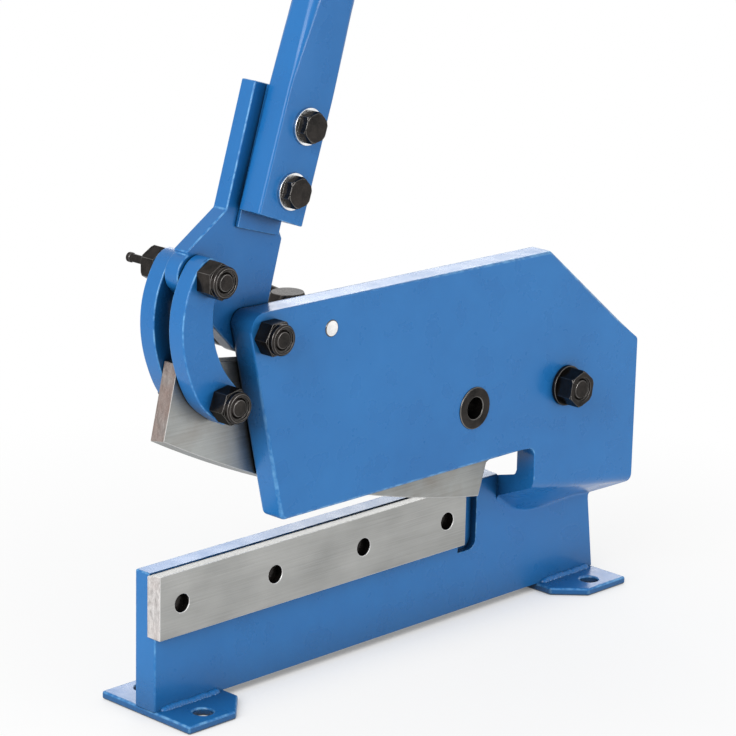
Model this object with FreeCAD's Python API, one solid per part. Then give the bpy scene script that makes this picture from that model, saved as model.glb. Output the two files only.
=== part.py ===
# Hand lever shear for sheet and round bar, bench mounted.
# X runs along the blades from the front end to the back, Y from the operator's side to the sheet's, Z up.
# The origin is the centre of the four bench holes, on the underside of the feet. Sizes are in millimetres.
import FreeCAD, Part
import math
import os

from FreeCAD import Vector

# Body plate, bent from one sheet into a lower web and an upper arm
PLATE = 20.0
BASE_LENGTH = 452.0
WEB_TOP = 104.0
WEB_LIFT = 6.0
WEB_REAR_SETBACK = 7.4
ARM_TOP = 283.6
ARM_TOP_REAR = 281.3
ARM_BOTTOM = 135.5
ARM_FRONT_TOP = 181.5
ARM_FRONT_BOTTOM = 148.5
ARM_SLOPE_START = 117.5
ARM_REAR = 219.2
ARM_REAR_TOP = 198.7
THROAT_END = 107.0
THROAT_CORNER = 7.0
THROAT_SLANT = 6.0
ARM_FRONT_CORNER = 10.0
ARM_CORNER = 5.0

# Joggle: (distance behind the throat, then the heights of its bends: arm near, web near, web far, arm far)
BEND = (
    (0.0, 104.5, 87.0, 97.5, 109.5),
    (15.0, 102.1, 76.0, 90.5, 107.5),
    (37.0, 98.7, 69.0, 80.0, 106.0),
    (119.0, 85.7, 62.0, 73.0, 97.2),
)
BEND_R = 9.0
BEND_INNER_R = 4.0

# Feet
FOOT_LENGTH = 64.0
FOOT_WIDTH = 90.0
FOOT_CHAMFER = 21.0
FOOT_HOLE_R = 6.75
FOOT_HOLE_INSET = 26.0
FOOT_HOLE_GAUGE = 60.0

# Blades
BLADE = 13.0
BLADE_LENGTH = 300.0
BLADE_HEIGHT = 46.0
BLADE_TOP = 105.2
BLADE_PROUD = 1.7
BLADE_RELIEF = 2.3
BLADE_SEAT = 6.0
BLADE_HOLE_R = 6.5
BLADE_HOLE_INSET = 20.0
BLADE_HOLES = 4
BLADE_BOLT_DEPTH = 5.0
SEAT_RUNOUT = 19.0
SEAT_RUNOUT_DROP = 8.0
SHEAR_GAP = 0.3
SLIDE_GAP = 1.0

# Pivots, as (x, z)
FULCRUM = (-164.0, 267.4)
LINK_TOP = (-211.0, 312.8)
LINK_BOTTOM = (-198.0, 226.4)
BLADE_PIVOT = (138.3, 177.0)
PIVOT_R = 7.0
BLADE_PIVOT_R = 8.0
PIVOT_FIT = 0.05

# Upper blade
CUT_FRONT = (-237.0, 202.0)
CUT_MIDDLE = (-84.0, 136.5)
CUT_REAR = (70.4, 98.6)
HEEL = (78.0, 125.0)
BLADE_BACK_FRONT = (-225.0, 254.6)
BLADE_BACK_SLOPE = 7.7
BLADE_BOSS_R = 28.0

# Linkage
LINK = 14.0
LINK_GAP = 0.7
LINK_TOP_EYE_R = 13.2
LINK_LOW_EYE_R = 15.3
LEVER = 13.0
LEVER_FULCRUM_EYE = 16.0
LEVER_LINK_EYE = 14.5
LEVER_SHOULDER = (-217.5, 328.7)
LEAN = 16.6
LEVER_ARM_WIDTH = 47.0
LEVER_ARM_FRONT = (-182.9, 351.6)
LEVER_ARM_LENGTH = 86.0
LEVER_BACK = (-132.1, 324.7)

# Curved sides of the links: (share of the way from upper to lower pivot, distance out from that line)
LINK_BACK = ((-0.131, 4.0), (-0.036, 13.1), (0.144, 22.6), (0.29, 26.6), (0.507, 28.2), (0.748, 25.1),
             (0.985, 16.9), (1.121, 6.2))
LINK_HOLLOW = ((0.196, -3.0), (0.344, 0.4), (0.516, 0.9), (0.683, -2.3), (0.784, -5.9), (0.884, -11.2))
LINK_TOP_EYE_ENDS = (85.0, -32.0)
LINK_LOW_EYE_ENDS = (-86.0, 28.0)

# Handle
BAR_LEAN = 17.9
BAR_WIDTH = 42.5
BAR = 20.0
BAR_LENGTH = 1000.0
BAR_EDGE = 2.0
BAR_FRONT = (-175.4, 351.6)
BAR_END_SKEW = 2.4
BAR_FLAT = 85.0
BAR_PRESSED = 200.0
BAR_TUBE_R = 17.0
ROUND_FLAT = 0.2
PAD = 3.0
PAD_FRONT = (-175.4, 339.2)
PAD_WIDTH = 38.8
PAD_LENGTH = 95.5
HANDLE_BOLTS = (19.3, 62.9)
HANDLE_BOLT_ASIDE = 2.9
HANDLE_NUT = 10.0
HANDLE_BOLT_R = 6.0
HANDLE_HEAD_FLATS = 19.0
HANDLE_HEAD = 7.0
HANDLE_WASHER_R = 12.5
HEAD_CHAMFER = 1.2
WASHER = 2.0
GRIP_LENGTH = 130.0
GRIP_WALL = 4.0

# Pivot hardware
NUT_FLATS = 22.0
NUT = 15.9
NUT_COLLAR = 4.5
NUT_COLLAR_R = 10.7
NUT_COLLAR_CHAMFER = 1.2
NUT_MOUTH = 1.0
NUT_MOUTH_DEPTH = 1.5
LINK_NUT = 17.0
BOLT_RECESS = 0.6
BOLT_POINT = 1.5
HEAD = 9.0
LINK_HEAD = 12.4
BIG_NUT_FLATS = 24.0
BIG_NUT = 13.5
BIG_NUT_TURN = 20.0
BIG_WASHER_R = 15.0
BIG_WASHER = 3.0
NIPPLE_R = 2.8
NIPPLE_TIP_R = 3.4
NIPPLE_TIP = 3.0
NIPPLE = 23.5

# Round bar bush
BUSH_AT = (40.0, 178.4)
BUSH_R = 15.5
BUSH_BORE_R = 8.0
BUSH_PROUD = 1.0

# Hold-down on the sheet's side
STUD_AT = (-105.0, 262.4)
STUD_R = 6.0
STUD_PROUD = 0.6
BRACKET = 8.0
BRACKET_STANDOFF = 5.3
BRACKET_EYE_R = 15.0
BRACKET_TOP = 271.0
SCREW_AT = (-80.7, 17.0)
SCREW_R = 6.0
SCREW_TOP = 270.8
SCREW_BOTTOM = 161.0
SCREW_HEAD = 12.0
SCREW_HEAD_R = 15.5
SCREW_HEAD_TOP_R = 11.5
LUG_TOP = 216.0
LUG_HEIGHT = 26.0
LUG_WIDTH = 34.0
TOMMY_R = 2.8
TOMMY_LENGTH = 90.0
TOMMY_END = 3.0
TOMMY_TURN = 76.0
TOMMY_DROP = 3.4
FOOT_PAD_R = 14.0
FOOT_PAD = 8.0

# Planes across the machine, worked out from the sizes above
WEB_NEAR = -PLATE / 2
WEB_FAR = PLATE / 2
LOWER_NEAR = WEB_NEAR + BLADE_SEAT - BLADE
UPPER_FAR = LOWER_NEAR - SHEAR_GAP
UPPER_NEAR = UPPER_FAR - BLADE
ARM_FAR = UPPER_NEAR - SLIDE_GAP
ARM_NEAR = ARM_FAR - PLATE
LEVER_NEAR = UPPER_FAR - LEVER
NEAR_LINK_FAR = UPPER_NEAR - LINK_GAP
NEAR_LINK_NEAR = NEAR_LINK_FAR - LINK
FAR_LINK_NEAR = UPPER_FAR + LINK_GAP
FAR_LINK_FAR = FAR_LINK_NEAR + LINK
BRACKET_NEAR = UPPER_FAR + BRACKET_STANDOFF
LINK_BOLT_END = NEAR_LINK_NEAR - LINK_NUT + BOLT_RECESS
BRACKET_FAR = BRACKET_NEAR + BRACKET
PAD_NEAR = LEVER_NEAR - PAD
BAR_NEAR = PAD_NEAR - BAR
FRONT = -BASE_LENGTH / 2
REAR = BASE_LENGTH / 2
BLADE_START = FRONT - BLADE_PROUD


# Basic forms
def at(point, y):
    return Vector(point[0], y, point[1])


def prism(edges_or_points, near, far):
    if isinstance(edges_or_points[0], tuple):
        points = [at(p, near) for p in edges_or_points]
        wire = Part.makePolygon(points + points[:1])
    else:
        wire = Part.Wire(edges_or_points)
    return Part.Face(wire).extrude(Vector(0, far - near, 0))


def rod(point, radius, near, far):
    return Part.makeCylinder(radius, far - near, at(point, near), Vector(0, 1, 0))


def ring(point, outer, inner, near, far):
    return rod(point, outer, near, far).cut(rod(point, inner, near - 1, far + 1))


def hexagon(point, flats, near, far, turn=0.0):
    corner = flats / math.sqrt(3)
    points = []
    for i in range(6):
        angle = math.radians(60 * i + turn)
        points.append((point[0] + corner * math.cos(angle), point[1] + corner * math.sin(angle)))
    return prism(points, near, far)


def chamfered_head(point, flats, seat, end, turn=0.0):
    near, far = min(seat, end), max(seat, end)
    blank = rod(point, flats / math.sqrt(3), near, far)
    rim = [e for e in blank.Edges if abs(e.BoundBox.YMin - end) < 0.1 and abs(e.BoundBox.YMax - end) < 0.1]
    return blank.makeChamfer(HEAD_CHAMFER, rim).common(hexagon(point, flats, near, far, turn))


def pointed_rod(point, radius, near, far):
    body = rod(point, radius, near, far)
    return body.makeChamfer(BOLT_POINT, [e for e in body.Edges if e.BoundBox.YMax < near + 0.1])


def along(start, angle, distance):
    turn = math.radians(angle)
    return (start[0] + distance * math.cos(turn), start[1] + distance * math.sin(turn))


def upright_edges(solid, points, reach=1.0):
    chosen = []
    for edge in solid.Edges:
        ends = [v.Point for v in edge.Vertexes]
        if len(ends) == 2 and abs(ends[0].x - ends[1].x) < 0.01 and abs(ends[0].z - ends[1].z) < 0.01:
            for p in points:
                if math.hypot(ends[0].x - p[0], ends[0].z - p[1]) < reach:
                    chosen.append(edge)
    return chosen


def save(name, shape):
    shape.exportStep("parts/" + name + ".step")


# Body plate: arm, joggle and web in one piece
def behind_throat(y, distance):
    return THROAT_END + distance + THROAT_SLANT * (y - ARM_NEAR) / (WEB_NEAR - ARM_NEAR)


def arm_top_at(x):
    share = (x + ARM_FRONT_TOP) / (ARM_SLOPE_START + ARM_FRONT_TOP)
    return ARM_TOP + share * (ARM_TOP_REAR - ARM_TOP)


def rear_side():
    near = ARM_NEAR - 1
    far = WEB_FAR + 1
    corners = [(behind_throat(near, 0), near), (REAR + 1, near), (REAR + 1, far), (behind_throat(far, 0), far)]
    points = [Vector(x, y, 0) for x, y in corners]
    return Part.Face(Part.makePolygon(points + points[:1])).extrude(Vector(0, 0, ARM_TOP + 1))


def joggle_section(distance, arm_near, web_near, web_far, arm_far):
    profile = [
        (ARM_NEAR, ARM_TOP + 1),
        (ARM_NEAR, arm_near),
        (WEB_NEAR, web_near),
        (WEB_NEAR, WEB_LIFT),
        (WEB_FAR, WEB_LIFT),
        (WEB_FAR, web_far),
        (ARM_FAR, arm_far),
        (ARM_FAR, ARM_TOP + 1),
    ]
    points = [Vector(behind_throat(y, distance), y, z) for y, z in profile]
    return Part.makePolygon(points + points[:1])


def bend_edges(solid, planes):
    chosen = []
    for edge in solid.Edges:
        box = edge.BoundBox
        lengthwise = box.YLength < 0.1 and box.XLength > BEND[-1][0] / 2
        if lengthwise and WEB_LIFT + 1 < box.ZMin < ARM_REAR_TOP and min(abs(box.YMin - y) for y in planes) < 0.1:
            chosen.append(edge)
    return chosen


def joggle():
    bent = Part.makeLoft([joggle_section(*row) for row in BEND], True, False)
    bent = bent.makeFillet(BEND_R, bend_edges(bent, (ARM_NEAR, WEB_FAR)))
    bent = bent.makeFillet(BEND_INNER_R, bend_edges(bent, (ARM_FAR, WEB_NEAR)))
    foot_rear = BEND[-1][2]
    knee_rear = BEND[-1][1]
    start = THROAT_END - 1
    outline = prism([(start, arm_top_at(start)), (ARM_SLOPE_START, ARM_TOP_REAR), (ARM_REAR, ARM_REAR_TOP),
                     (ARM_REAR, knee_rear), (REAR - WEB_REAR_SETBACK, foot_rear), (REAR, WEB_LIFT),
                     (start, WEB_LIFT)], ARM_NEAR - 1, WEB_FAR + 1)
    corners = [(ARM_SLOPE_START, ARM_TOP_REAR), (ARM_REAR, ARM_REAR_TOP)]
    return bent.common(outline.makeFillet(ARM_CORNER, upright_edges(outline, corners)))


def arm_plate():
    rear = THROAT_END + PLATE
    outline = [(-ARM_FRONT_TOP, ARM_TOP), (rear, arm_top_at(rear)), (rear, ARM_BOTTOM),
               (-ARM_FRONT_BOTTOM, ARM_BOTTOM)]
    arm = prism(outline, ARM_NEAR, ARM_FAR)
    arm = arm.makeFillet(ARM_FRONT_CORNER, upright_edges(arm, [outline[0]]))
    arm = arm.makeFillet(ARM_CORNER, upright_edges(arm, [outline[3]]))
    return arm.cut(rear_side())


def web_plate():
    rear = THROAT_END + PLATE
    web = prism([(FRONT, WEB_LIFT), (rear, WEB_LIFT), (rear, WEB_TOP), (FRONT, WEB_TOP)], WEB_NEAR, WEB_FAR)
    return web.cut(rear_side())


def throat_corner(body):
    for edge in body.Edges:
        box = edge.BoundBox
        crosswise = box.YLength > 1 and box.XMin > THROAT_END - 0.1
        if crosswise and abs(box.ZMin - ARM_BOTTOM) < 0.1 and box.ZLength < 0.1:
            return body.makeFillet(THROAT_CORNER, [edge])
    return body


def blade_seat():
    bottom = BLADE_TOP - BLADE_HEIGHT
    back = LOWER_NEAR + BLADE
    seat = Part.makeBox(BLADE_LENGTH, BLADE, BLADE_HEIGHT + 20, Vector(BLADE_START, LOWER_NEAR, bottom))
    end = BLADE_START + BLADE_LENGTH
    relief = Part.makeBox(SEAT_RUNOUT, back - LOWER_NEAR, BLADE_HEIGHT + SEAT_RUNOUT_DROP + 20,
                          Vector(end, LOWER_NEAR, bottom - SEAT_RUNOUT_DROP))
    corner = (end + SEAT_RUNOUT, bottom - SEAT_RUNOUT_DROP)
    relief = relief.makeFillet(SEAT_RUNOUT_DROP - 0.5, upright_edges(relief, [corner]))
    return seat.fuse(relief)


def side_frame():
    body = throat_corner(arm_plate().fuse([joggle(), web_plate()]).removeSplitter()).cut(blade_seat())
    body = body.cut(rod(FULCRUM, PIVOT_R + PIVOT_FIT, ARM_NEAR - 1, ARM_FAR + 1))
    body = body.cut(rod(BLADE_PIVOT, BLADE_PIVOT_R + PIVOT_FIT, ARM_NEAR - 1, ARM_FAR + 1))
    body = body.cut(rod(BUSH_AT, BUSH_R, ARM_NEAR - 1, ARM_FAR + 1))
    body = body.cut(rod(STUD_AT, STUD_R, ARM_NEAR - 1, ARM_FAR + 1))
    for x in blade_hole_places():
        body = body.cut(rod((x, blade_middle()), BLADE_HOLE_R, LOWER_NEAR, WEB_FAR + 1))
    return body


# Feet
def foot(front):
    end = FRONT if front else REAR
    inward = 1 if front else -1
    half = FOOT_WIDTH / 2
    inner = end + inward * FOOT_LENGTH
    points = [
        Vector(end, -half, 0),
        Vector(inner - inward * FOOT_CHAMFER, -half, 0),
        Vector(inner, -half + FOOT_CHAMFER, 0),
        Vector(inner, half - FOOT_CHAMFER, 0),
        Vector(inner - inward * FOOT_CHAMFER, half, 0),
        Vector(end, half, 0),
    ]
    plate = Part.Face(Part.makePolygon(points + points[:1])).extrude(Vector(0, 0, WEB_LIFT))
    for side in (-1, 1):
        centre = Vector(end + inward * FOOT_HOLE_INSET, side * FOOT_HOLE_GAUGE / 2, -1)
        plate = plate.cut(Part.makeCylinder(FOOT_HOLE_R, WEB_LIFT + 2, centre))
    return plate


# Lower blade and its bolts
def blade_middle():
    return BLADE_TOP - BLADE_HEIGHT / 2


def blade_hole_places():
    pitch = (BLADE_LENGTH - 2 * BLADE_HOLE_INSET) / (BLADE_HOLES - 1)
    return [BLADE_START + BLADE_HOLE_INSET + i * pitch for i in range(BLADE_HOLES)]


def lower_blade():
    bottom = BLADE_TOP - BLADE_HEIGHT
    back = LOWER_NEAR + BLADE
    points = [
        Vector(BLADE_START, LOWER_NEAR, bottom),
        Vector(BLADE_START, LOWER_NEAR, BLADE_TOP),
        Vector(BLADE_START, back, BLADE_TOP - BLADE_RELIEF),
        Vector(BLADE_START, back, bottom),
    ]
    blade = Part.Face(Part.makePolygon(points + points[:1])).extrude(Vector(BLADE_LENGTH, 0, 0))
    for x in blade_hole_places():
        blade = blade.cut(rod((x, blade_middle()), BLADE_HOLE_R, LOWER_NEAR - 1, back + 1))
    return blade


def blade_bolt(x):
    shank = rod((x, blade_middle()), BLADE_HOLE_R, LOWER_NEAR + BLADE_BOLT_DEPTH, WEB_FAR)
    return shank.fuse(chamfered_head((x, blade_middle()), HANDLE_HEAD_FLATS, WEB_FAR, WEB_FAR + HANDLE_HEAD))


# Upper blade
def upper_blade_edges(y, lift):
    def lifted(point):
        return at((point[0], point[1] + lift), y)

    top_angle = math.radians(BLADE_BACK_SLOPE)
    back_front = at(BLADE_BACK_FRONT, y)
    boss_top = at((BLADE_PIVOT[0] + BLADE_BOSS_R * math.sin(top_angle),
                   BLADE_PIVOT[1] + BLADE_BOSS_R * math.cos(top_angle)), y)
    boss_rear = at((BLADE_PIVOT[0] + BLADE_BOSS_R, BLADE_PIVOT[1]), y)
    boss_low = at((BLADE_PIVOT[0] - BLADE_BOSS_R * math.sin(top_angle),
                   BLADE_PIVOT[1] - BLADE_BOSS_R * math.cos(top_angle)), y)
    return [
        Part.Arc(lifted(CUT_FRONT), lifted(CUT_MIDDLE), lifted(CUT_REAR)).toShape(),
        Part.LineSegment(lifted(CUT_REAR), at(HEEL, y)).toShape(),
        Part.LineSegment(at(HEEL, y), boss_low).toShape(),
        Part.Arc(boss_low, boss_rear, boss_top).toShape(),
        Part.LineSegment(boss_top, back_front).toShape(),
        Part.LineSegment(back_front, lifted(CUT_FRONT)).toShape(),
    ]


def upper_blade():
    near = Part.Wire(upper_blade_edges(UPPER_NEAR, BLADE_RELIEF))
    far = Part.Wire(upper_blade_edges(UPPER_FAR, 0.0))
    blade = Part.makeLoft([near, far], True, True)
    blade = blade.cut(rod(BLADE_PIVOT, BLADE_PIVOT_R + PIVOT_FIT, UPPER_NEAR - 1, UPPER_FAR + 1))
    blade = blade.cut(rod(BUSH_AT, BUSH_BORE_R, UPPER_NEAR - 1, UPPER_FAR + 1))
    return blade.cut(rod(LINK_BOTTOM, PIVOT_R, UPPER_NEAR - 1, UPPER_FAR + 1))


# Links
def link(near, far):
    chord_x = LINK_BOTTOM[0] - LINK_TOP[0]
    chord_z = LINK_BOTTOM[1] - LINK_TOP[1]
    length = math.hypot(chord_x, chord_z)
    front = (chord_z / length, -chord_x / length)

    def place(share, offset):
        return (LINK_TOP[0] + share * chord_x + offset * front[0],
                LINK_TOP[1] + share * chord_z + offset * front[1])

    def curve(points):
        spline = Part.BSplineCurve()
        spline.interpolate(Points=[at(p, near) for p in points])
        return spline.toShape()

    def eye_arc(centre, radius, ends):
        angles = (ends[0], (ends[0] + ends[1]) / 2, ends[1])
        return [along(centre, angle, radius) for angle in angles]

    top_eye = eye_arc(LINK_TOP, LINK_TOP_EYE_R, LINK_TOP_EYE_ENDS)
    low_eye = eye_arc(LINK_BOTTOM, LINK_LOW_EYE_R, LINK_LOW_EYE_ENDS)
    back = [top_eye[0]] + [place(*spot) for spot in LINK_BACK] + [low_eye[0]]
    hollow = [low_eye[2]] + [place(*spot) for spot in reversed(LINK_HOLLOW)] + [top_eye[2]]
    edges = [
        curve(back),
        Part.Arc(*[at(p, near) for p in low_eye]).toShape(),
        curve(hollow),
        Part.Arc(*[at(p, near) for p in reversed(top_eye)]).toShape(),
    ]
    body = prism(edges, near, far)
    for eye in (LINK_TOP, LINK_BOTTOM):
        body = body.cut(rod(eye, PIVOT_R, near - 1, far + 1))
    return body


# Lever plate and handle
def lever_plate():
    lean_up = 90.0 - LEAN
    arm_top_front = along(LEVER_ARM_FRONT, lean_up, LEVER_ARM_LENGTH)
    arm_top_back = along(arm_top_front, lean_up - 90, LEVER_ARM_WIDTH)
    arm_low_back = along(LEVER_ARM_FRONT, lean_up - 90, LEVER_ARM_WIDTH)
    body = prism([LEVER_ARM_FRONT, arm_top_front, arm_top_back, arm_low_back, LEVER_BACK,
                  (FULCRUM[0] + LEVER_FULCRUM_EYE, FULCRUM[1]), FULCRUM, LINK_TOP,
                  LEVER_SHOULDER], LEVER_NEAR, UPPER_FAR)
    strip_x = LINK_TOP[0] - FULCRUM[0]
    strip_z = LINK_TOP[1] - FULCRUM[1]
    reach = math.hypot(strip_x, strip_z)
    down = (strip_z / reach, -strip_x / reach)
    low_a = (FULCRUM[0] - LEVER_FULCRUM_EYE * down[0], FULCRUM[1] - LEVER_FULCRUM_EYE * down[1])
    low_b = (LINK_TOP[0] - LEVER_LINK_EYE * down[0], LINK_TOP[1] - LEVER_LINK_EYE * down[1])
    strip = prism([FULCRUM, LINK_TOP, low_b, low_a], LEVER_NEAR, UPPER_FAR)
    body = body.fuse([strip, rod(FULCRUM, LEVER_FULCRUM_EYE, LEVER_NEAR, UPPER_FAR),
                      rod(LINK_TOP, LEVER_LINK_EYE, LEVER_NEAR, UPPER_FAR)]).removeSplitter()
    for eye in (FULCRUM, LINK_TOP):
        body = body.cut(rod(eye, PIVOT_R + PIVOT_FIT, LEVER_NEAR - 1, UPPER_FAR + 1))
    for place in handle_bolt_places():
        body = body.cut(rod(place, HANDLE_BOLT_R, LEVER_NEAR - 1, UPPER_FAR + 1))
    return body


def leaning_strip(start, lean, width, length, near, far):
    other = along(start, -lean, width)
    return prism([start, along(start, 90 - lean, length), along(other, 90 - lean, length), other], near, far)


def on_bar(aside, distance):
    return along(along(BAR_FRONT, -BAR_LEAN, aside), 90 - BAR_LEAN, distance)


def handle_bolt_places():
    return [on_bar(BAR_WIDTH / 2 + HANDLE_BOLT_ASIDE, distance) for distance in HANDLE_BOLTS]


def handle_pad():
    pad = leaning_strip(PAD_FRONT, LEAN, PAD_WIDTH, PAD_LENGTH, PAD_NEAR, LEVER_NEAR)
    for place in handle_bolt_places():
        pad = pad.cut(rod(place, HANDLE_BOLT_R, PAD_NEAR - 1, LEVER_NEAR + 1))
    return pad


def bar_section(distance, width, thickness, corner):
    centre = on_bar(BAR_WIDTH / 2, distance)
    middle = (BAR_NEAR + PAD_NEAR) / 2
    lean = math.radians(BAR_LEAN)
    across = Vector(math.cos(lean), 0, -math.sin(lean))
    corners = []
    for side, near_side in ((-1, -1), (1, -1), (1, 1), (-1, 1)):
        out = across * side
        back = Vector(0, near_side, 0)
        hub = Vector(centre[0], middle, centre[1]) + out * (width / 2 - corner) + back * (thickness / 2 - corner)
        turned = (out, (out + back).normalize(), back)
        corners.append([hub + way * corner for way in (turned if side == near_side else turned[::-1])])
    edges = []
    for i, arc in enumerate(corners):
        edges.append(Part.Arc(*arc).toShape())
        edges.append(Part.LineSegment(arc[2], corners[(i + 1) % 4][0]).toShape())
    return Part.Wire(edges)


def bar_stretch(start, end, width, thickness, corner):
    lean = math.radians(BAR_LEAN)
    upward = Vector(math.sin(lean), 0, math.cos(lean))
    return Part.Face(bar_section(start, width, thickness, corner)).extrude(upward * (end - start))


def handle_bar():
    tube = 2 * BAR_TUBE_R
    tube_start = BAR_FLAT + BAR_PRESSED
    tube_corner = BAR_TUBE_R - ROUND_FLAT
    opening = Part.makeLoft([bar_section(BAR_FLAT, BAR_WIDTH, BAR, BAR_EDGE),
                             bar_section(tube_start, tube, tube, tube_corner)], True, True)
    bar = bar_stretch(-BAR_EDGE, BAR_FLAT, BAR_WIDTH, BAR, BAR_EDGE)
    bar = bar.fuse([opening, bar_stretch(tube_start, BAR_LENGTH, tube, tube, tube_corner)])
    skew = BAR_LEAN + BAR_END_SKEW
    corner = along(BAR_FRONT, 180 - skew, BAR_WIDTH)
    other = along(BAR_FRONT, -skew, 2 * BAR_WIDTH)
    below = prism([corner, other, along(other, -90 - skew, BAR_WIDTH), along(corner, -90 - skew, BAR_WIDTH)],
                  BAR_NEAR - 1, PAD_NEAR + 1)
    bar = bar.cut(below)
    for place in handle_bolt_places():
        bar = bar.cut(rod(place, HANDLE_BOLT_R, BAR_NEAR - 1, PAD_NEAR + 1))
    return bar


def handle_grip():
    outer = BAR_TUBE_R + GRIP_WALL
    grip = bar_stretch(BAR_LENGTH - GRIP_LENGTH, BAR_LENGTH + GRIP_WALL, 2 * outer, 2 * outer, outer - ROUND_FLAT)
    return grip.cut(handle_bar())


def handle_bolt(place):
    end = UPPER_FAR + HANDLE_NUT + BOLT_POINT
    seat = BAR_NEAR - WASHER
    shank = rod(place, HANDLE_BOLT_R, seat, end)
    shank = shank.makeChamfer(BOLT_POINT, [e for e in shank.Edges if e.BoundBox.YMin > end - 0.1])
    return shank.fuse(chamfered_head(place, HANDLE_HEAD_FLATS, seat, seat - HANDLE_HEAD, 12.0))


def handle_washer(place):
    return ring(place, HANDLE_WASHER_R, HANDLE_BOLT_R, BAR_NEAR - WASHER, BAR_NEAR)


def handle_nut(place):
    nut = chamfered_head(place, HANDLE_HEAD_FLATS, UPPER_FAR, UPPER_FAR + HANDLE_NUT)
    return nut.cut(rod(place, HANDLE_BOLT_R, UPPER_FAR - 1, UPPER_FAR + HANDLE_NUT + 1))


# Pivot bolts and nuts
def lock_nut(point, seat, height, turn):
    end = seat - height
    body = hexagon(point, NUT_FLATS, end + NUT_COLLAR, seat, turn)
    collar = rod(point, NUT_COLLAR_R, end, end + NUT_COLLAR)
    collar = collar.makeChamfer(NUT_COLLAR_CHAMFER, [e for e in collar.Edges if e.BoundBox.YMax < end + 0.1])
    nut = body.fuse(collar).cut(rod(point, PIVOT_R, end - 1, seat + 1))
    return nut.cut(rod(point, PIVOT_R + NUT_MOUTH, end - 1, end + NUT_MOUTH_DEPTH))


def blade_pivot_nut():
    seat = ARM_NEAR - BIG_WASHER
    end = seat - BIG_NUT
    nut = chamfered_head(BLADE_PIVOT, BIG_NUT_FLATS, seat, end, BIG_NUT_TURN)
    nut = nut.cut(rod(BLADE_PIVOT, BLADE_PIVOT_R, end - 1, seat + 1))
    return nut.cut(rod(BLADE_PIVOT, BLADE_PIVOT_R + NUT_MOUTH, end - 1, end + NUT_MOUTH_DEPTH))


def pivot_bolt(point, radius, near, seat, head, turn=0.0):
    return pointed_rod(point, radius, near, seat).fuse(chamfered_head(point, NUT_FLATS, seat, seat + head, turn))


def nipple():
    seat = FAR_LINK_FAR + LINK_HEAD
    stem = rod(LINK_TOP, NIPPLE_R, seat, seat + NIPPLE - NIPPLE_TIP)
    return stem.fuse(rod(LINK_TOP, NIPPLE_TIP_R, seat + NIPPLE - NIPPLE_TIP, seat + NIPPLE))


# Hold-down
def hold_down_bracket():
    bottom = LUG_TOP - LUG_HEIGHT
    half = LUG_WIDTH / 2
    x = SCREW_AT[0]
    plate = prism([(FULCRUM[0], FULCRUM[1] + BRACKET_EYE_R), (FULCRUM[0] + BRACKET_EYE_R, BRACKET_TOP),
                   (STUD_AT[0] + STUD_R, BRACKET_TOP), (x + half, STUD_AT[1] - half),
                   (x + half, bottom), (x - half, bottom), (x - half, LUG_TOP),
                   (FULCRUM[0], FULCRUM[1] - BRACKET_EYE_R)], BRACKET_NEAR, BRACKET_FAR)
    eye = rod(FULCRUM, BRACKET_EYE_R, BRACKET_NEAR, BRACKET_FAR)
    lug = Part.makeBox(LUG_WIDTH, SCREW_AT[1] + half - BRACKET_FAR, LUG_HEIGHT,
                       Vector(x - half, BRACKET_FAR, bottom))
    body = plate.fuse([eye, lug]).removeSplitter()
    body = body.cut(rod(FULCRUM, PIVOT_R, BRACKET_NEAR - 1, BRACKET_FAR + 1))
    body = body.cut(rod(STUD_AT, STUD_R, BRACKET_NEAR - 1, BRACKET_FAR + 1))
    hole = Part.makeCylinder(SCREW_R + PIVOT_FIT, LUG_HEIGHT + 2, Vector(x, SCREW_AT[1], bottom - 1))
    return body.cut(hole)


def hold_down_screw():
    axis = Vector(SCREW_AT[0], SCREW_AT[1], SCREW_BOTTOM)
    screw = Part.makeCylinder(SCREW_R, SCREW_TOP - SCREW_BOTTOM, axis)
    head = Part.makeCone(SCREW_HEAD_R, SCREW_HEAD_TOP_R, SCREW_HEAD,
                         Vector(SCREW_AT[0], SCREW_AT[1], SCREW_TOP - SCREW_HEAD))
    return screw.fuse(head).removeSplitter().cut(tommy_bar())


def tommy_bar():
    turn = math.radians(TOMMY_TURN)
    direction = Vector(math.cos(turn), math.sin(turn), 0)
    middle = Vector(SCREW_AT[0], SCREW_AT[1], SCREW_TOP - TOMMY_DROP)
    start = middle - direction * (SCREW_HEAD_TOP_R + TOMMY_END)
    return Part.makeCylinder(TOMMY_R, TOMMY_LENGTH, start, direction)


def hold_down_foot():
    return Part.makeCylinder(FOOT_PAD_R, FOOT_PAD, Vector(SCREW_AT[0], SCREW_AT[1], SCREW_BOTTOM - FOOT_PAD))


def bracket_stud():
    return rod(STUD_AT, STUD_R, ARM_NEAR - STUD_PROUD, BRACKET_FAR + STUD_PROUD)


def fulcrum_spacer():
    return ring(FULCRUM, LEVER_FULCRUM_EYE - 1.0, PIVOT_R, UPPER_FAR + SHEAR_GAP, BRACKET_NEAR)


# Round bar bush
def bar_bush():
    return ring(BUSH_AT, BUSH_R, BUSH_BORE_R, ARM_NEAR - BUSH_PROUD, ARM_FAR)


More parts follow.
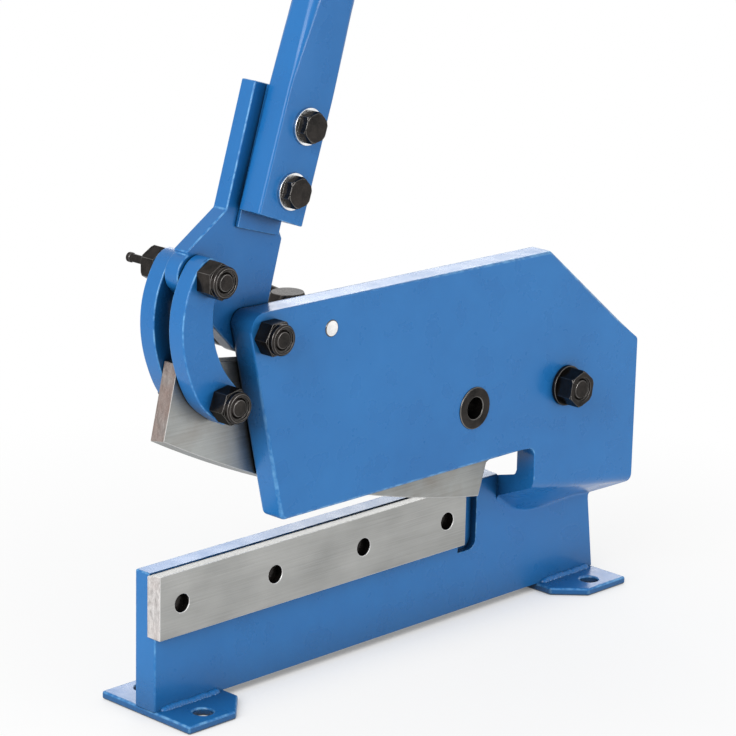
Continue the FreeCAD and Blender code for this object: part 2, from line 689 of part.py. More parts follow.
os.makedirs("parts", exist_ok=True)
save("side_frame", side_frame())
save("front_foot", foot(True))
save("rear_foot", foot(False))
save("lower_blade", lower_blade())
for number, x in enumerate(blade_hole_places(), 1):
    save("blade_bolt_%d" % number, blade_bolt(x))
save("bar_bush", bar_bush())
save("upper_blade", upper_blade())
save("blade_link_pin", rod(LINK_BOTTOM, PIVOT_R, UPPER_NEAR, UPPER_FAR))
save("near_link", link(NEAR_LINK_NEAR, NEAR_LINK_FAR))
save("far_link", link(FAR_LINK_NEAR, FAR_LINK_FAR))
save("lever_plate", lever_plate())
save("handle_pad", handle_pad())
save("handle_bar", handle_bar())
save("handle_grip", handle_grip())
for number, place in enumerate(handle_bolt_places(), 1):
    save("handle_bolt_%d" % number, handle_bolt(place))
    save("handle_washer_%d" % number, handle_washer(place))
    save("handle_nut_%d" % number, handle_nut(place))
save("fulcrum_bolt", pivot_bolt(FULCRUM, PIVOT_R, ARM_NEAR - NUT + BOLT_RECESS, BRACKET_FAR, HEAD))
save("fulcrum_nut", lock_nut(FULCRUM, ARM_NEAR, NUT, 0.0))
save("fulcrum_spacer", fulcrum_spacer())
save("blade_pivot_bolt", pivot_bolt(BLADE_PIVOT, BLADE_PIVOT_R, ARM_NEAR - BIG_WASHER - BIG_NUT + BOLT_RECESS,
                                    UPPER_FAR + SHEAR_GAP, HEAD))
save("blade_pivot_nut", blade_pivot_nut())
save("blade_pivot_washer", ring(BLADE_PIVOT, BIG_WASHER_R, BLADE_PIVOT_R, ARM_NEAR - BIG_WASHER, ARM_NEAR))
save("upper_link_bolt", pivot_bolt(LINK_TOP, PIVOT_R, LINK_BOLT_END, FAR_LINK_FAR, LINK_HEAD, 30.0))
save("upper_link_nut", lock_nut(LINK_TOP, NEAR_LINK_NEAR, LINK_NUT, 30.0))
save("grease_nipple", nipple())
save("lower_link_bolt", rod(LINK_BOTTOM, PIVOT_R, FAR_LINK_NEAR, FAR_LINK_FAR).fuse(
    chamfered_head(LINK_BOTTOM, NUT_FLATS, FAR_LINK_FAR, FAR_LINK_FAR + HEAD)))
save("lower_link_stud", pointed_rod(LINK_BOTTOM, PIVOT_R, LINK_BOLT_END, NEAR_LINK_FAR))
save("lower_link_nut", lock_nut(LINK_BOTTOM, NEAR_LINK_NEAR, LINK_NUT, 10.0))
save("hold_down_bracket", hold_down_bracket())
save("hold_down_screw", hold_down_screw())
save("tommy_bar", tommy_bar())
save("hold_down_foot", hold_down_foot())
save("bracket_stud", bracket_stud())
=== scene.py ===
# Hand lever shear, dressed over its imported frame. Sizes are in metres.
# X runs along the blades from the front end to the back, Y away from the operator, Z up.
import bmesh
import bpy
import math

from mathutils import Matrix, Vector, bvhtree, geometry


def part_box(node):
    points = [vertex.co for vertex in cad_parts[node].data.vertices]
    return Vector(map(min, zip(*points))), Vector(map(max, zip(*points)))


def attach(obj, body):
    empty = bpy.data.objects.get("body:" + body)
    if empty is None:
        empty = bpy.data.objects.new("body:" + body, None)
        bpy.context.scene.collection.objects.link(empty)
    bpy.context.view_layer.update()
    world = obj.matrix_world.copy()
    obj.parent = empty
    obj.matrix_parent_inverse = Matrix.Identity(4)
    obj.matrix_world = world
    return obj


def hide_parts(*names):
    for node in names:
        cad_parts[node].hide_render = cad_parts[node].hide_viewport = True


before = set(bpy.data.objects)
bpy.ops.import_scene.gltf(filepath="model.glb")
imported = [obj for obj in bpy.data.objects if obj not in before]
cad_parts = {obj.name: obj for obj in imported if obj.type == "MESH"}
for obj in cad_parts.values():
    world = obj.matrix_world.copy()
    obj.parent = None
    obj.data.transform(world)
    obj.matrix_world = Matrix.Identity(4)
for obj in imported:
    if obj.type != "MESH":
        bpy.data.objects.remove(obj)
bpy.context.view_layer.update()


# Body plate.
# One 20 mm steel plate: a lower web that carries the fixed blade, and an upper arm that is pressed
# out sideways behind the throat so that a sheet can pass. Flame cut, edges broken, gloss blue enamel.
def start_material(name, metallic=0.0, coat=0.0, anisotropic=0.0):
    material = bpy.data.materials.new(name)
    material.use_nodes = True
    tree = material.node_tree
    shader = tree.nodes["Principled BSDF"]
    shader.inputs["Metallic"].default_value = metallic
    shader.inputs["Coat Weight"].default_value = coat
    shader.inputs["Coat Roughness"].default_value = 0.10
    shader.inputs["Anisotropic"].default_value = anisotropic
    where = tree.nodes.new("ShaderNodeTexCoord").outputs["Object"]
    return material, tree, shader, where


def noise(tree, where, scale, detail=2.0, stretch=(1, 1, 1), turn=(0, 0, 0), rough=0.5):
    place = tree.nodes.new("ShaderNodeMapping")
    place.inputs["Scale"].default_value = stretch
    place.inputs["Rotation"].default_value = turn
    tree.links.new(where, place.inputs["Vector"])
    cloud = tree.nodes.new("ShaderNodeTexNoise")
    cloud.inputs["Scale"].default_value = scale
    cloud.inputs["Detail"].default_value = detail
    cloud.inputs["Roughness"].default_value = rough
    tree.links.new(place.outputs["Vector"], cloud.inputs["Vector"])
    return cloud.outputs["Fac"]


def level(tree, value, low, high, start=0.3, end=0.7):
    span = tree.nodes.new("ShaderNodeMapRange")
    for name, number in (("From Min", start), ("From Max", end), ("To Min", low), ("To Max", high)):
        span.inputs[name].default_value = number
    tree.links.new(value, span.inputs["Value"])
    return span.outputs["Result"]


def times(tree, a, b):
    product = tree.nodes.new("ShaderNodeMath")
    product.operation = "MULTIPLY"
    tree.links.new(a, product.inputs[0])
    tree.links.new(b, product.inputs[1])
    return product.outputs[0]


def rounding_middle_mark(tree):
    mark = tree.nodes.new("ShaderNodeAttribute")
    mark.attribute_name = "edge"
    return mark.outputs["Fac"]


def between(tree, amount, first, second):
    mix = tree.nodes.new("ShaderNodeMix")
    mix.data_type = "RGBA"
    tree.links.new(amount, mix.inputs[0])
    for socket, colour in ((mix.inputs[6], first), (mix.inputs[7], second)):
        if isinstance(colour, tuple):
            socket.default_value = (*colour, 1.0)
        else:
            tree.links.new(colour, socket)
    return mix.outputs[2]


def shade_painted_in_gaps(tree, colour, reach, deepest):
    # Painted shade: the colour falls to its share 'deepest' where little sky reaches, so deep gaps darken
    # as shade would.
    open_sky = tree.nodes.new("ShaderNodeAmbientOcclusion")
    open_sky.samples = 6
    open_sky.inputs["Distance"].default_value = reach
    share = level(tree, open_sky.outputs["AO"], deepest, 1.0, 0.22, 0.74)
    shaded = tree.nodes.new("ShaderNodeVectorMath")
    shaded.operation = "SCALE"
    tree.links.new(colour, shaded.inputs[0])
    tree.links.new(share, shaded.inputs["Scale"])
    return shaded.outputs["Vector"]


def relief(tree, shader, *layers):
    normal = None
    for height, strength, depth in layers:
        bump = tree.nodes.new("ShaderNodeBump")
        bump.inputs["Strength"].default_value = strength
        bump.inputs["Distance"].default_value = depth
        tree.links.new(height, bump.inputs["Height"])
        if normal:
            tree.links.new(normal, bump.inputs["Normal"])
        normal = bump.outputs["Normal"]
    tree.links.new(normal, shader.inputs["Normal"])


def paint_blue(name, deep, middle, pale):
    material, tree, shader, where = start_material(name, coat=0.12)
    cloud = noise(tree, where, 9.0, 3.0)
    drift = noise(tree, where, 55.0, 4.0)
    chips = noise(tree, where, 210.0, 3.0)
    rubbed_and_highlit_blue = (0.15, 0.39, 0.68)
    colour = between(tree, level(tree, cloud, 0.0, 1.0), deep, middle)
    colour = between(tree, level(tree, drift, 0.0, 0.35), colour, pale)
    # The rounded edges turn a lighter blue where the chips allow: partly rubbed paint, partly a painted
    # highlight.
    edge = times(tree, rounding_middle_mark(tree), level(tree, chips, 0.05, 0.9, 0.4, 0.65))
    colour = between(tree, edge, colour, rubbed_and_highlit_blue)
    # Painted shade: the blue darkens in deep gaps such as the throat and the slot beside the blade.
    colour = shade_painted_in_gaps(tree, colour, 0.07, 0.08)
    shader.inputs["Specular IOR Level"].default_value = 0.3
    tree.links.new(colour, shader.inputs["Base Color"])
    tree.links.new(level(tree, drift, 0.24, 0.36), shader.inputs["Roughness"])
    relief(tree, shader, (noise(tree, where, 38.0, 2.0), 0.12, 0.0012),
           (noise(tree, where, 330.0, 1.0), 0.05, 0.0004))
    return material


blue_enamel = paint_blue("blue enamel", (0.011, 0.139, 0.402), (0.016, 0.169, 0.465),
                         (0.020, 0.186, 0.490))


def merged_copy(node, flat=0.4):
    # The node's loose triangles, joined, with those that lie within 'flat' degrees made one face.
    form = bmesh.new()
    form.from_mesh(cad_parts[node].data)
    bmesh.ops.remove_doubles(form, verts=form.verts, dist=1e-6)
    bmesh.ops.dissolve_limit(form, angle_limit=math.radians(flat), verts=form.verts, edges=form.edges)
    form.verts.index_update()
    mesh = bpy.data.meshes.new(node)
    mesh.from_pydata([v.co[:] for v in form.verts], [], [[v.index for v in f.verts] for f in form.faces])
    form.free()
    return mesh


def rounded(mesh, radius, steps=2, like=None):
    # Rounds every corner past 35 degrees. Where 'like' names a node, only the weighed edges are rounded
    # and the rest is shaded as that node is. The rounding's middle row of points is marked in the
    # attribute "edge", where wear shows first and where the finishes paint highlights. A sharp mitre
    # can overshoot a little, so no point is left outside the solid's own box.
    spans = [(min(axis), max(axis)) for axis in zip(*(v.co for v in mesh.vertices))]
    blank = bpy.data.objects.new("blank", mesh)
    bpy.context.scene.collection.objects.link(blank)
    flat_slot, round_slot = 0, 1
    for slot in (flat_slot, round_slot):
        mesh.materials.append(blue_enamel)
    mesh.polygons.foreach_set("use_smooth", [True] * len(mesh.polygons))
    bevel = blank.modifiers.new("rounding", "BEVEL")
    bevel.width = radius
    bevel.segments = steps
    bevel.limit_method = "WEIGHT" if like else "ANGLE"
    bevel.angle_limit = math.radians(35)
    bevel.use_clamp_overlap = False
    bevel.loop_slide = False
    bevel.miter_outer = "MITER_SHARP"
    bevel.harden_normals = True
    bevel.material = round_slot
    result = bpy.data.meshes.new_from_object(blank.evaluated_get(bpy.context.evaluated_depsgraph_get()))
    bpy.data.objects.remove(blank)
    for v in result.vertices:
        v.co = [min(max(c, low), high) for c, (low, high) in zip(v.co, spans)]
    middle = [True] * len(result.vertices)
    for face in result.polygons:
        if face.material_index == flat_slot:
            for v in face.vertices:
                middle[v] = False
    mark = result.attributes.new("edge", "FLOAT", "POINT")
    mark.data.foreach_set("value", [1.0 if m else 0.0 for m in middle])
    if like:
        smooth_as(result, like)
    result.polygons.foreach_set("material_index", [flat_slot] * len(result.polygons))
    result.materials.clear()
    return result


def smooth_as(mesh, node):
    # Outside the roundings each face is shaded as on the frame's own mesh, so that curves stay even.
    # Of the triangles within 'reach' of a corner, the one that faces the same way is taken.
    reach = 0.0002
    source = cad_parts[node].data
    source.calc_loop_triangles()
    points = [v.co for v in source.vertices]
    triangles = source.loop_triangles
    finder = bvhtree.BVHTree.FromPolygons(points, [t.vertices for t in triangles])
    shading = [corner.vector.copy() for corner in mesh.corner_normals]
    for face in mesh.polygons:
        if face.material_index:
            continue
        for i in face.loop_indices:
            here = mesh.vertices[mesh.loops[i].vertex_index].co
            found = finder.find_nearest_range(here, reach)
            hit, normal, index, gap = max(found, key=lambda place: place[1].dot(face.normal),
                                          default=finder.find_nearest(here))
            ends = [source.corner_normals[k].vector for k in triangles[index].loops]
            at = [points[k] for k in triangles[index].vertices]
            shading[i] = geometry.barycentric_transform(hit, *at, *ends).normalized()
    mesh.normals_split_custom_set(shading)


def plate_edges_weighed(mesh):
    # Full rounding on the arm's outline, a third in its throat, half on the web's top and front end and a
    # quarter on its other edges. Holes, the bend, the blade's recess, the rear end's upright edges and
    # the edges on the feet stay sharp.
    hole_reach = 0.019
    foot_height = 0.0065
    bend_start, bend_end, bend_top = 0.1045, 0.218, 0.112
    recess_face = -0.004
    rear_end = 0.2165
    arm_face = -0.030
    throat_start, throat_top = 0.09, 0.136
    web_top, web_front, web_face = 0.1035, -0.225, 0.009
    holes = [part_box(node) for node in ("bar_bush", "blade_pivot_bolt", "fulcrum_bolt", "bracket_stud")]
    centres = [(low + high) / 2 for low, high in holes]
    form = bmesh.new()
    form.from_mesh(mesh)
    weight = form.edges.layers.float.new("bevel_weight_edge")
    for edge in form.edges:
        a, b = (v.co for v in edge.verts)
        middle = (a + b) / 2
        if len(edge.link_faces) != 2 or edge.calc_face_angle() < math.radians(40):
            continue
        if any(math.hypot(middle.x - c.x, middle.z - c.z) < hole_reach for c in centres):
            continue
        if middle.z < foot_height or (bend_start < middle.x < bend_end and middle.z < bend_top):
            continue
        if abs(middle.y - recess_face) < 0.0003 or middle.x > rear_end:
            continue
        if middle.y < arm_face:
            edge[weight] = 0.35 if middle.x > throat_start and middle.z < throat_top else 1.0
        elif middle.z > web_top or middle.x < web_front:
            edge[weight] = 0.5
        elif middle.y < web_face or abs(middle.x) > 0.1:
            edge[weight] = 0.25
    form.to_mesh(mesh)
    form.free()
    return mesh


def finished(name, mesh, body, slot, materials, *nodes):
    # Clearing the materials also clears each face's number, so the numbers are set again.
    mesh.name = name
    numbers = [face.material_index for face in mesh.polygons]
    mesh.materials.clear()
    for material in materials:
        mesh.materials.append(material)
    mesh.polygons.foreach_set("material_index", numbers)
    piece = bpy.data.objects.new(name, mesh)
    bpy.context.scene.collection.objects.link(piece)
    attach(piece, body)
    if nodes:
        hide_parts(*nodes)


body_plate = rounded(plate_edges_weighed(merged_copy("side_frame", 0.05)), 0.0026, 4, like="side_frame")
finished("body_plate", body_plate, "frame", "blue_paint", [blue_enamel], "side_frame")


# Feet, welded on.
# Two flat steel feet with cut corners and two bench holes each. The web stands on them in a fillet weld
# run along both sides, and the paint goes over weld and foot together.
def painted(name, node, body, enamel, radius, steps=3):
    finished(name, rounded(merged_copy(node), radius, steps), body, "blue_paint", [enamel], node)


for place in ("front", "rear"):
    painted(place + "_foot_plate", place + "_foot", "frame", blue_enamel, 0.0018)


def node_tree(name, inputs):
    tree = bpy.data.node_groups.new(name, "GeometryNodeTree")
    tree.interface.new_socket("Geometry", in_out="INPUT", socket_type="NodeSocketGeometry")
    for label, kind, value in inputs:
        socket = tree.interface.new_socket(label, in_out="INPUT", socket_type="NodeSocket" + kind)
        if value is not None:
            socket.default_value = value
    tree.interface.new_socket("Geometry", in_out="OUTPUT", socket_type="NodeSocketGeometry")
    return tree, tree.nodes.new("NodeGroupInput"), tree.nodes.new("NodeGroupOutput")


def step(tree, kind, settings=(), **inputs):
    # Adds a node, its settings, and its inputs as values or as links from other nodes.
    made = tree.nodes.new("GeometryNode" + kind if not kind.startswith("Function") else kind)
    for name, value in settings:
        setattr(made, name, value)
    for name, value in inputs.items():
        socket = made.inputs[name.replace("_", " ")]
        if isinstance(value, bpy.types.NodeSocket):
            tree.links.new(value, socket)
        else:
            socket.default_value = value
    return made


def grown(name, start, tree, values):
    # Runs a node tree on a start mesh, with values by the names of its inputs, and returns a plain mesh.
    seed = bpy.data.objects.new(name, start)
    bpy.context.scene.collection.objects.link(seed)
    modifier = seed.modifiers.new("grown", "NODES")
    modifier.node_group = tree
    sockets = {s.name: s.identifier for s in tree.interface.items_tree if s.in_out == "INPUT"}
    for label, value in values.items():
        modifier[sockets[label]] = value
    seed.update_tag()
    bpy.context.view_layer.update()
    mesh = bpy.data.meshes.new_from_object(seed.evaluated_get(bpy.context.evaluated_depsgraph_get()))
    seed.modifiers.remove(modifier)
    bpy.data.objects.remove(seed)
    return mesh


def path_mesh(runs):
    # One chain of edges for each run of points.
    points, edges = [], []
    for run in runs:
        for i, point in enumerate(run):
            if i:
                edges.append((len(points) - 1, len(points)))
            points.append(point)
    mesh = bpy.data.meshes.new("path")
    mesh.from_pydata(points, edges, [])
    return mesh


def weld_tree():
    tree, given, made = node_tree("fillet weld", [
        ("Pitch", "Float", 0.0022), ("Leg", "Float", 0.0039), ("Seed", "Int", 3),
        ("Finish", "Material", None)])
    run = step(tree, "MeshToCurve", Mesh=given.outputs["Geometry"])
    row = step(tree, "ResampleCurve", (("mode", "LENGTH"),), Curve=run.outputs["Curve"],
               Length=given.outputs["Pitch"])
    ripple = step(tree, "MeshUVSphere", Segments=14, Rings=8, Radius=given.outputs["Leg"])
    size = step(tree, "FunctionNodeRandomValue", (("data_type", "FLOAT_VECTOR"),),
                Seed=given.outputs["Seed"])
    least, most = size.inputs[0], size.inputs[1]
    least.default_value = (0.95, 0.85, 0.80)
    most.default_value = (1.20, 1.06, 1.04)
    placed = step(tree, "InstanceOnPoints", Points=row.outputs["Curve"], Instance=ripple.outputs["Mesh"],
                  Scale=size.outputs[0])
    solid = step(tree, "RealizeInstances", Geometry=placed.outputs["Instances"])
    smooth = step(tree, "SetShadeSmooth", Geometry=solid.outputs["Geometry"])
    done = step(tree, "SetMaterial", Geometry=smooth.outputs["Geometry"], Material=given.outputs["Finish"])
    tree.links.new(done.outputs["Geometry"], made.inputs["Geometry"])
    return tree


weld_leg = 0.0039
weld_stop = 0.009
weld_sunk = 0.0006
web_half = 0.010
runs = []
for place in ("front", "rear"):
    low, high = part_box(place + "_foot")
    for side in (-web_half, web_half):
        runs.append([(x, side, high.z - weld_sunk) for x in (low.x + weld_stop, high.x - weld_stop)])
welds = grown("welds", path_mesh(runs), weld_tree(), {"Leg": weld_leg, "Finish": blue_enamel})
finished("foot_welds", welds, "frame", "blue_paint", [blue_enamel])


# Lower blade.
# A bar of tool steel let into the web, ground along its length and sawn off at the ends; the walls
# of its four bolt holes take the black steel finish.
def ground_steel():
    material, tree, shader, where = start_material("ground blade steel", metallic=1.0, anisotropic=0.3)
    grain = noise(tree, where, 40.0, 4.0, stretch=(0.35, 30.0, 30.0), rough=0.65)
    fine = noise(tree, where, 160.0, 3.0, stretch=(0.25, 24.0, 24.0), rough=0.6)
    cloud = noise(tree, where, 26.0, 4.0, stretch=(0.6, 1.0, 1.0))
    colour = between(tree, level(tree, cloud, 0.0, 1.0), (0.238, 0.241, 0.231), (0.361, 0.361, 0.348))
    colour = between(tree, level(tree, grain, 0.0, 0.4), colour, (0.435, 0.435, 0.426))
    # Painted highlight along the rounded edges.
    colour = between(tree, rounding_middle_mark(tree), colour, (0.78, 0.78, 0.77))
    tree.links.new(colour, shader.inputs["Base Color"])
    tree.links.new(level(tree, cloud, 0.36, 0.50), shader.inputs["Roughness"])
    relief(tree, shader, (grain, 0.30, 0.0002), (fine, 0.30, 0.0001), (cloud, 0.2, 0.0010))
    return material


def sawn_steel(name, dark, pale, stain):
    material, tree, shader, where = start_material(name, metallic=0.8)
    cut = noise(tree, where, 210.0, 5.0, stretch=(1.0, 1.6, 0.8), rough=0.75)
    cloud = noise(tree, where, 90.0, 3.0)
    colour = between(tree, level(tree, cut, 0.0, 1.0), dark, pale)
    colour = between(tree, level(tree, cloud, 0.0, 0.5), colour, stain)
    tree.links.new(colour, shader.inputs["Base Color"])
    tree.links.new(level(tree, cut, 0.42, 0.68), shader.inputs["Roughness"])
    relief(tree, shader, (cut, 0.9, 0.0012))
    return material


blade_ground = ground_steel()
blade_sawn = sawn_steel("sawn steel end", (0.38, 0.36, 0.35), (0.84, 0.82, 0.81), (0.58, 0.52, 0.50))


def ends_marked(mesh, direction, index=1, limit=0.9):
    # Gives the faces that look in a direction another of the piece's materials.
    for face in mesh.polygons:
        if face.normal.dot(direction) > limit:
            face.material_index = index
    return mesh


def black_steel():
    material, tree, shader, where = start_material("black oxide steel", metallic=0.85)
    cloud = noise(tree, where, 120.0, 3.0)
    fine = noise(tree, where, 900.0, 3.0)
    colour = between(tree, level(tree, cloud, 0.0, 1.0), (0.012, 0.0115, 0.011), (0.038, 0.033, 0.030))
    colour = between(tree, level(tree, fine, 0.0, 0.3), colour, (0.060, 0.055, 0.051))
    shader.inputs["Specular Tint"].default_value = (0.45, 0.45, 0.45, 1.0)
    # Painted glints on the rounded edges, where the cloud allows.
    edge = times(tree, rounding_middle_mark(tree), level(tree, cloud, 0.35, 0.9))
    colour = between(tree, edge, colour, (0.24, 0.23, 0.22))
    tree.links.new(colour, shader.inputs["Base Color"])
    tree.links.new(level(tree, fine, 0.15, 0.27), shader.inputs["Roughness"])
    relief(tree, shader, (fine, 0.25, 0.0001), (cloud, 0.15, 0.0004))
    return material


black_oxide = black_steel()
lower = rounded(merged_copy("lower_blade"), 0.0006)
for direction in (Vector((-1, 0, 0)), Vector((1, 0, 0))):
    ends_marked(lower, direction)
hole_reach = 0.009
for number in range(1, 5):
    low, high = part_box("blade_bolt_%d" % number)
    for face in lower.polygons:
        aside = face.center - (low + high) / 2
        if abs(face.normal.y) < 0.3 and math.hypot(aside.x, aside.z) < hole_reach:
            face.material_index = 2
finished("lower_blade_bar", lower, "frame", "blade_steel", [blade_ground, blade_sawn, black_oxide],
         "lower_blade")


# Blade bolts.
# Four blackened steel screws sit deep in the blade's holes, and their nuts behind the web clamp the
# blade to it.
def blackened(name, node, body, radius=0.0004, steps=2):
    finished(name, rounded(merged_copy(node), radius, steps), body, "dark_steel", [black_oxide], node)


for number in range(1, 5):
    blackened("blade_screw_%d" % number, "blade_bolt_%d" % number, "frame")


# Bar bush.
# A turned and blackened steel ring pressed into the arm; a round bar is passed through it to be cut.
blackened("bar_guide_bush", "bar_bush", "frame", 0.0008, 3)


# Hold-down bracket and its stud.
# A flat bracket behind the arm with a threaded lug for the hold-down screw, held by the fulcrum bolt
# and a turned stud whose bright end shows in the arm.
def turned_steel():
    material, tree, shader, where = start_material("turned steel", metallic=1.0)
    cloud = noise(tree, where, 150.0, 3.0)
    fine = noise(tree, where, 1400.0, 2.0)
    colour = between(tree, level(tree, cloud, 0.0, 1.0), (0.62, 0.61, 0.60), (0.80, 0.79, 0.78))
    # Painted highlight along the rounded edges.
    colour = between(tree, rounding_middle_mark(tree), colour, (0.88, 0.88, 0.86))
    tree.links.new(colour, shader.inputs["Base Color"])
    tree.links.new(level(tree, fine, 0.26, 0.42), shader.inputs["Roughness"])
    relief(tree, shader, (fine, 0.2, 0.0001), (cloud, 0.1, 0.0004))
    return material


turned = turned_steel()
painted("hold_down_arm", "hold_down_bracket", "frame", blue_enamel, 0.0008, 2)
bracket_pin = ends_marked(rounded(merged_copy("bracket_stud"), 0.0007, 3), Vector((0, -1, 0)), limit=0.995)
finished("bracket_pin", bracket_pin, "frame", "bright_steel", [black_oxide, turned], "bracket_stud")


# Hold-down screw, its cross bar and its pressure foot.
# A threaded rod with a drilled head, turned by a sliding bar, presses the foot on the sheet. All three
# are blackened steel.
def thread_tree():
    tree, given, made = node_tree("screw thread", [
        ("Length", "Float", 0.1), ("Radius", "Float", 0.006), ("Pitch", "Float", 0.0018),
        ("Ridge", "Float", 0.0005), ("Foot", "Vector", None), ("Turn", "Vector", None),
        ("Finish", "Material", None)])
    turns = tree.nodes.new("ShaderNodeMath")
    turns.operation = "DIVIDE"
    tree.links.new(given.outputs["Length"], turns.inputs[0])
    tree.links.new(given.outputs["Pitch"], turns.inputs[1])
    helix = step(tree, "CurveSpiral", Resolution=20, Rotations=turns.outputs[0],
                 Start_Radius=given.outputs["Radius"], End_Radius=given.outputs["Radius"],
                 Height=given.outputs["Length"])
    crest = step(tree, "CurvePrimitiveCircle", Resolution=4, Radius=given.outputs["Ridge"])
    ridge = step(tree, "CurveToMesh", Curve=helix.outputs["Curve"], Profile_Curve=crest.outputs["Curve"],
                 Fill_Caps=True)
    placed = step(tree, "Transform", Geometry=ridge.outputs["Mesh"], Translation=given.outputs["Foot"],
                  Rotation=given.outputs["Turn"])
    solid = step(tree, "RealizeInstances", Geometry=placed.outputs["Geometry"])
    done = step(tree, "SetMaterial", Geometry=solid.outputs["Geometry"], Material=given.outputs["Finish"])
    tree.links.new(done.outputs["Geometry"], made.inputs["Geometry"])
    return tree


plain_length = 0.018
plain_foot = 0.002
low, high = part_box("hold_down_screw")
middle = (low + high) / 2
blackened("hold_down_rod", "hold_down_screw", "hold_down", 0.0005)
thread = grown("thread", bpy.data.meshes.new("none"), thread_tree(), {
    "Length": high.z - low.z - plain_length, "Foot": (middle.x, middle.y, low.z + plain_foot),
    "Finish": black_oxide})
finished("hold_down_thread", thread, "hold_down", "dark_steel", [black_oxide])
blackened("cross_bar", "tommy_bar", "hold_down", 0.0008, 3)
blackened("pressure_foot", "hold_down_foot", "hold_down", 0.0010, 3)


# Fulcrum bolt, nut and spacer.
# The lever turns on a blackened bolt through the arm, closed by a lock nut with a ring in its collar.
blackened("fulcrum_screw", "fulcrum_bolt", "frame")
blackened("fulcrum_lock_nut", "fulcrum_nut", "frame", 0.0003)
blackened("fulcrum_distance_ring", "fulcrum_spacer", "frame")


# Upper blade.
# The moving blade, a shaped tool-steel plate with a long curved cutting edge, hung behind the arm. Its
# faces are milled along its length, and its front end is sawn and stained, darker than the lower blade's
# end as painted shade.
def milled_steel():
    material, tree, shader, where = start_material("moving blade steel", metallic=1.0, anisotropic=0.2)
    grain = noise(tree, where, 45.0, 4.0, stretch=(0.4, 26.0, 26.0), turn=(0, 0.12, 0), rough=0.65)
    cloud = noise(tree, where, 20.0, 4.0)
    stain = noise(tree, where, 44.0, 3.0)
    colour = between(tree, level(tree, cloud, 0.0, 1.0), (0.217, 0.221, 0.213), (0.308, 0.317, 0.308))
    colour = between(tree, level(tree, stain, 0.0, 0.5, 0.45, 0.75), colour, (0.175, 0.140, 0.108))
    colour = between(tree, level(tree, grain, 0.0, 0.35), colour, (0.41, 0.42, 0.41))
    # Painted highlight along the rounded edges.
    colour = between(tree, rounding_middle_mark(tree), colour, (0.74, 0.73, 0.71))
    # Painted shade: the steel darkens where it lies close in behind the arm and web.
    colour = shade_painted_in_gaps(tree, colour, 0.05, 0.25)
    tree.links.new(colour, shader.inputs["Base Color"])
    tree.links.new(level(tree, cloud, 0.36, 0.50), shader.inputs["Roughness"])
    relief(tree, shader, (grain, 0.25, 0.0002), (stain, 0.1, 0.0006))
    return material


blade_milled = milled_steel()
# The brown is a real stain; the darkness against the lower blade's sawn end is painted shade.
stained_shaded_end = sawn_steel("stained and shaded blade end", (0.17, 0.145, 0.135), (0.40, 0.36, 0.34), (0.25, 0.16, 0.13))
upper = ends_marked(rounded(merged_copy("upper_blade"), 0.0006), Vector((-1, 0, 0)), limit=0.8)
finished("moving_blade", upper, "blade", "blade_steel", [blade_milled, stained_shaded_end], "upper_blade")
blackened("moving_blade_pin", "blade_link_pin", "blade")


# Blade pivot.
# The blade swings on a large blackened bolt through the arm's rear end, with a washer and a chamfered
# hex nut.
blackened("blade_pivot_screw", "blade_pivot_bolt", "frame")
blackened("blade_pivot_hex_nut", "blade_pivot_nut", "frame", 0.0003)
blackened("blade_pivot_ring", "blade_pivot_washer", "frame", 0.0005)


# Links.
# A pair of bowed flat links, one each side of blade and lever, cut from plate. Links, lever and handle
# take a darker copy of the body's enamel, painted shade for the dimmer light on them.
shaded_enamel = paint_blue("shaded copy of blue enamel", (0.007, 0.120, 0.362), (0.011, 0.146, 0.420),
                         (0.015, 0.162, 0.445))
for place in ("near", "far"):
    painted(place + "_bowed_link", place + "_link", "links", shaded_enamel, 0.0011)


# Link bolts, lock nuts and the grease nipple.
# Blackened bolts close the links; a nipple in the upper bolt feeds grease to the pivots.
for place in ("upper", "lower"):
    blackened(place + "_link_screw", place + "_link_bolt", "links")
    blackened(place + "_link_lock_nut", place + "_link_nut", "links", 0.0003)
blackened("lower_link_end", "lower_link_stud", "links")
blackened("greasing_nipple", "grease_nipple", "links", 0.0003)


# Lever plate.
# The short forged lever between the links, with the arm that the handle is bolted to, painted blue.
painted("lever_cheek", "lever_plate", "lever", shaded_enamel, 0.0011)


# Handle pad.
# A thin packing strip of painted steel, clamped between the lever's arm and the handle bar.
painted("handle_packing", "handle_pad", "lever", shaded_enamel, 0.0006, 2)


# Handle bar.
# A painted steel tube about a metre long whose lower end is pressed flat where it is bolted to the
# lever.
painted("handle_tube", "handle_bar", "lever", shaded_enamel, 0.0008, 2)


# Handle bolts, washers and nuts.
# Two hex bolts with bright zinc washers clamp the bar; their nuts sit behind the lever.
def bright_zinc():
    material, tree, shader, where = start_material("bright zinc", metallic=1.0)
    cloud = noise(tree, where, 300.0, 3.0)
    colour = between(tree, level(tree, cloud, 0.0, 1.0), (0.70, 0.71, 0.72), (0.86, 0.86, 0.85))
    tree.links.new(colour, shader.inputs["Base Color"])
    tree.links.new(level(tree, cloud, 0.18, 0.30), shader.inputs["Roughness"])
    relief(tree, shader, (cloud, 0.15, 0.0002))
    return material


zinc = bright_zinc()
for number in (1, 2):
    blackened("handle_screw_%d" % number, "handle_bolt_%d" % number, "lever")
    washer = "handle_washer_%d" % number
    finished("handle_plain_washer_%d" % number, rounded(merged_copy(washer), 0.0003), "lever",
             "bright_steel", [zinc], washer)
    blackened("handle_hex_nut_%d" % number, "handle_nut_%d" % number, "lever")


